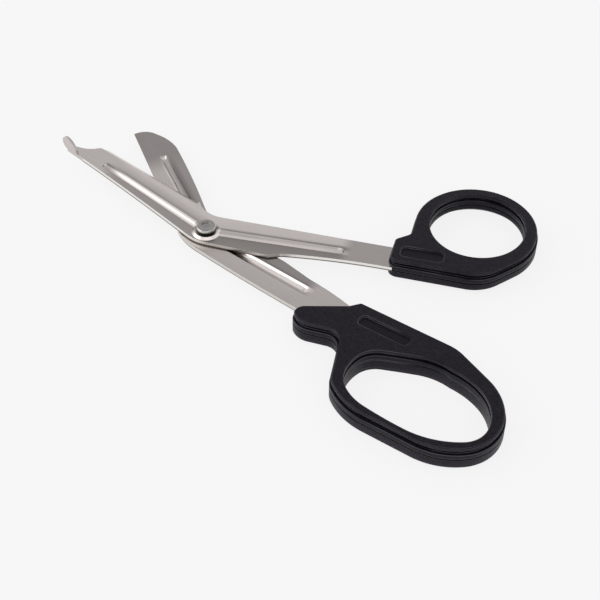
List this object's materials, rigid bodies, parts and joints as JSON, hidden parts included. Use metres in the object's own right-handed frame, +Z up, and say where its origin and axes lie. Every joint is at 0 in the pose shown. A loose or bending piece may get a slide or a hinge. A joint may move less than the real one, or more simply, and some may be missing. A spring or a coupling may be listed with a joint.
{
  "type": "bandage scissors",
  "caption": "Angled bandage scissors with a blunt-footed probe blade, a plain rounded blade, a rivet pivot and black moulded thumb and finger loops, lying open",
  "frame": {"origin": "centre of the overall box, on the table the handles rest on", "axes": "+X from the blade tips towards the handles, +Y towards the thumb loop's side, +Z up from the table through the pivot"},
  "size_m": [0.1838, 0.113, 0.0104],
  "materials": {
    "blade_steel": "satin stainless sheet, fine lengthwise grain",
    "rivet_steel": "smooth formed head",
    "handle_plastic": "fine matt grain with softly shining edges"
  },
  "bodies": {
    "lower_arm": {"plain_blade": "blade_steel", "finger_handle": "handle_plastic", "pivot_rivet": "rivet_steel"},
    "upper_arm": {"probe_blade": "blade_steel", "thumb_handle": "handle_plastic"}
  },
  "joints": [
    {"name": "pivot", "type": "hinge", "parent": "lower_arm", "child": "upper_arm", "pos_m": [-0.02356, -0.00021, 0.0042], "axis": [0, 0, 1], "range_deg": [-19.5, 25]}
  ]
}
